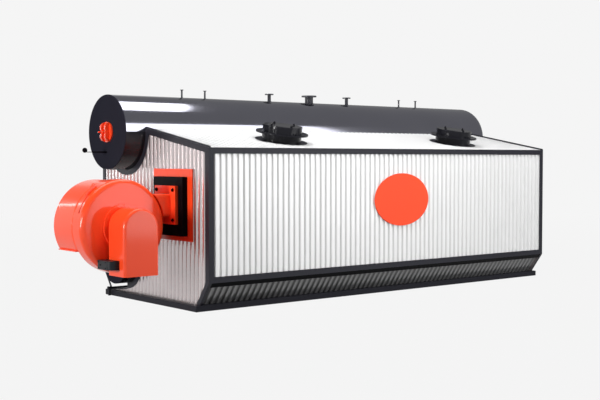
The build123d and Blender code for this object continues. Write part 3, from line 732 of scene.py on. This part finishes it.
def ring(shape, place, radius, wire_r, steps=24):
    """Adds a closed ring of round wire in the XY plane of a place."""
    section = Matrix.Translation((radius, 0, 0)) @ Matrix.Rotation(pi / 2, 4, "X")
    made = bmesh.ops.create_circle(shape, cap_ends=False, segments=8, radius=wire_r, matrix=place @ section)
    rim = {edge for vert in made["verts"] for edge in vert.link_edges}
    axis = place.to_3x3() @ Vector((0, 0, 1))
    bmesh.ops.spin(shape, geom=made["verts"] + list(rim), cent=place.translation, axis=axis,
                   angle=2 * pi, steps=steps, use_merge=True)


bead_r = 0.006
bead_gap = 0.002
steam_pipe_r = 0.075
safety_pipe_r = 0.031
small_pipe_r = 0.015
safety_y = 0.925
small_ys = (2.31, 2.775)
nozzle_pipes = [(0, steam_pipe_r)]
for side in (-1, 1):
    nozzle_pipes.append((side * safety_y, safety_pipe_r))
    nozzle_pipes += [(side * y, small_pipe_r) for y in small_ys]

beads = bmesh.new()
for y, nozzle_r in nozzle_pipes:
    top = drum_z + sqrt(cover_r ** 2 - nozzle_r ** 2 / 2)
    ring(beads, Matrix.Translation((drum_x, y, top)), nozzle_r + bead_gap, bead_r)
finished("nozzle_beads", beads, "nozzle_steel")
print("drum axis at x", round(drum_x, 3), "z", round(drum_z, 3), "radius", round(cover_r, 3))

# %% [markdown]
# Each relief vent stands square to the roof. Its clamping flange is held by four nuts outside the
# cap, and the cap's four studs carry nuts as well. A place on the roof has its own Z along the roof's
# normal, so both circles are laid out flat in it.

# %% Vent bolts
vent_inset = 0.675
clamp_height = 0.144
cap_height = 0.252
clamp_r = 0.36
stud_r = 0.226
nuts_each = 4

vent_x = half_w - vent_inset
vent_z = eave + vent_inset * tan(roof_slope)
vent_bolts = bmesh.new()
for name in ("relief_vent_front", "relief_vent_rear"):
    low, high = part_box(name)
    place = Matrix.Translation((vent_x, (low[1] + high[1]) / 2, vent_z)) @ roof_turn
    for rise, nut_circle in ((clamp_height, clamp_r), (cap_height, stud_r)):
        stamp(vent_bolts, nut, circle(place @ Matrix.Translation((0, 0, rise)), nut_circle, nuts_each))
finished("vent_bolts", vent_bolts, "vent_paint")
print("vents at x", round(vent_x, 3), "z", round(vent_z, 3))

# %% [markdown]
# The burner hangs from its flange on four large bolts. Eight more bolts go round the motor's mounting
# ring, and screws hold the orange frame to the front wall.

# %% Burner bolts
hole_pitch = 0.455
ring_bolt_r = 0.312
ring_bolt_count = 8
frame_bar = 0.14
frame_screw_spacing = 0.3
spigot = 0.02

flange_low, flange_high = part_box("burner_flange")
port_x = (flange_low[0] + flange_high[0]) / 2
port_z = (flange_low[2] + flange_high[2]) / 2
ring_low, ring_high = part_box("burner_motor_flange")
axis_y = (ring_low[1] + ring_high[1]) / 2
axis_z = (ring_low[2] + ring_high[2]) / 2
frame_low, frame_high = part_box("burner_port_frame")

burner_bolts = bmesh.new()
corners = [(port_x + i * hole_pitch / 2, flange_low[1], port_z + j * hole_pitch / 2)
           for i in (-1, 1) for j in (-1, 1)]
stamp(burner_bolts, large_bolt, [aimed(c, (0, -1, 0)) for c in corners])
finished("flange_bolts", burner_bolts, "collar_paint")

ring_bolts = bmesh.new()
ring_face = aimed((ring_high[0] - spigot, axis_y, axis_z), (1, 0, 0))
stamp(ring_bolts, bolt, circle(ring_face, ring_bolt_r, ring_bolt_count))
inner = frame_bar / 2
left, right = frame_low[0] + inner, frame_high[0] - inner
low_z, high_z = frame_low[2] + inner, frame_high[2] - inner
face = frame_low[1]
frame_points = []
for z in (low_z, high_z):
    frame_points += row((left, face, z), (right, face, z), frame_screw_spacing)
for x in (left, right):
    frame_points += row((x, face, low_z), (x, face, high_z), frame_screw_spacing)[1:-1]
stamp(ring_bolts, screw, [aimed(p, (0, -1, 0)) for p in frame_points])
finished("burner_screws", ring_bolts, "orange_paint")
print("burner axis at y", round(axis_y, 3), "z", round(axis_z, 3))

# %% [markdown]
# The air inlet drum takes in its air from below, through a flat opening. A dark screen lies over it,
# with round bars along it that keep hands and birds out. The bars are one cylinder, stamped at equal
# steps across the opening.

# %% Inlet guard
guard_margin = 0.07
guard_drop = 0.006
bar_r = 0.005
bar_step = 0.05

inlet_low, inlet_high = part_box("burner_inlet_drum")
inlet_r = (inlet_high[1] - inlet_low[1]) / 2
opening_z = inlet_low[2]
half_opening = sqrt(inlet_r ** 2 - (axis_z - opening_z) ** 2) - guard_margin
guard = bmesh.new()
long_x = inlet_high[0] - inlet_low[0] - 2 * guard_margin
mid_x = (inlet_low[0] + inlet_high[0]) / 2
block(guard, (long_x, 2 * half_opening, guard_drop / 2),
      Matrix.Translation((mid_x, axis_y, opening_z - guard_drop / 4)))
bar = turned((bar_r, long_x, 8, 0.001))
bars = row((mid_x - long_x / 2, axis_y - half_opening, opening_z - guard_drop),
           (mid_x - long_x / 2, axis_y + half_opening, opening_z - guard_drop), bar_step)
stamp(guard, bar, [aimed(p, (1, 0, 0)) for p in bars])
finished("inlet_guard", guard, "black_plastic")
print("inlet guard with", len(bars), "bars")

# %% [markdown]
# The control box hangs on the front of the motor cover. Its lid has one small round key switch and is
# closed by four screws, which sit well inside the box's rounded corners.

# %% Control box
key_inset = 0.084
lid_left = 0.04
lid_right = 0.12
lid_edge = 0.022

box_low, box_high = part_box("burner_control_box")
key = turned((0.014, 0.002, 20, 0.0005), (0.009, 0.004, 16, 0.001))
keys = bmesh.new()
box_mid_z = (box_low[2] + box_high[2]) / 2
stamp(keys, key, [aimed((box_low[0] + key_inset, box_low[1], box_mid_z), (0, -1, 0))])
for x in (box_low[0] + lid_left, box_high[0] - lid_right):
    for z in (box_high[2] - lid_edge, box_low[2] + lid_edge):
        stamp(keys, screw, [aimed((x, box_low[1], z), (0, -1, 0))])
finished("control_box_key", keys, "collar_paint")
print("control box from x", round(box_low[0], 3), "to", round(box_high[0], 3))

# %% [markdown]
# The blow-down valve is small but stands free in front of the base frame, so it is made as the real
# one: a body between two union nuts, a bonnet with its spindle, a hand wheel, and the drain that
# goes down to the floor. It takes the place of the plain block on the blow-down pipe.

# %% Blow-down valve
valve_head = 0.018
pipe_r = 0.017
body_r = 0.024
body_height = 0.036
body_drop = 0.026
union_r = 0.027
union_length = 0.018
union_gap = 0.012
drain_flange_r = 0.026
drain_flange = 0.006
bonnet_r = 0.017
bonnet_height = 0.008
bonnet_rise = 0.010
spindle_r = 0.005
spindle_drop = 0.002
wheel_r = 0.025
wheel_rim = 0.0035
wheel_drop = 0.004
spoke_r = 0.003

line_low, line_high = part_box("blowdown_line")
valve_half = (line_high[0] - line_low[0]) / 2
line_x = (line_low[0] + line_high[0]) / 2
valve_y = line_low[1] + valve_half
pipe_z = line_high[2] - valve_head
pipe_run = line_high[1] - valve_y

valve = bmesh.new()
pipe = turned((pipe_r, pipe_run, 20, 0.001))
stamp(valve, pipe, [aimed((line_x, valve_y, pipe_z), (0, 1, 0))])
union = turned((union_r, union_length, 6, 0.002))
for y in (line_low[1], valve_y + union_gap):
    stamp(valve, union, [aimed((line_x, y, pipe_z), (0, 1, 0))])
body = turned((body_r, body_height, 16, 0.006))
stamp(valve, body, [Matrix.Translation((line_x, valve_y, pipe_z - body_drop))])
drain_run = pipe_z - body_drop - drain_flange
drain = turned((drain_flange_r, drain_flange, 20, 0.001), (pipe_r, drain_run, 16, 0))
stamp(valve, drain, [Matrix.Translation((line_x, valve_y, 0))])
spindle = line_high[2] - spindle_drop - pipe_z - bonnet_height - bonnet_rise
bonnet = turned((bonnet_r, bonnet_height, 8, 0.001), (spindle_r, spindle, 10, 0.0005))
stamp(valve, bonnet, [Matrix.Translation((line_x, valve_y, pipe_z + bonnet_rise))])
hub = Vector((line_x, valve_y, line_high[2] - wheel_drop))
ring(valve, Matrix.Translation(hub), wheel_r, wheel_rim)
spoke = turned((spoke_r, 2 * wheel_r, 6, 0))
for turn in (0, 60, 120):
    across = Vector((cos(radians(turn)), sin(radians(turn)), 0))
    stamp(valve, spoke, [aimed(hub - wheel_r * across, across)])
valve_piece = finished("blowdown_valve", valve, "base_steel")
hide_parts("blowdown_line")
print("blow-down pipe at z", round(pipe_z, 3))

# %% [markdown]
# An earthing boss with its nut is welded to both ends of each base rail, a little inside the end, so
# that the boiler can be bonded to the building's earth at any corner.

# %% Earthing bosses
boss = turned((0.012, 0.006, 16, 0.001), (0.0085, 0.008, 6, 0.001), (0.005, 0.006, 10, 0.001))
boss_height = 0.037
boss_inset = 0.02
boss_sink = 0.014
bosses = bmesh.new()
for out in (-1, 1):
    y = out * (rail_high[1] - boss_sink)
    for x in (rail_low[0] + boss_inset, rail_high[0] - boss_inset):
        stamp(bosses, boss, [aimed((x, y, boss_height), (0, out, 0))])
finished("earthing_bosses", bosses, "base_steel")
print("earthing bosses", boss_height, "m above the floor")
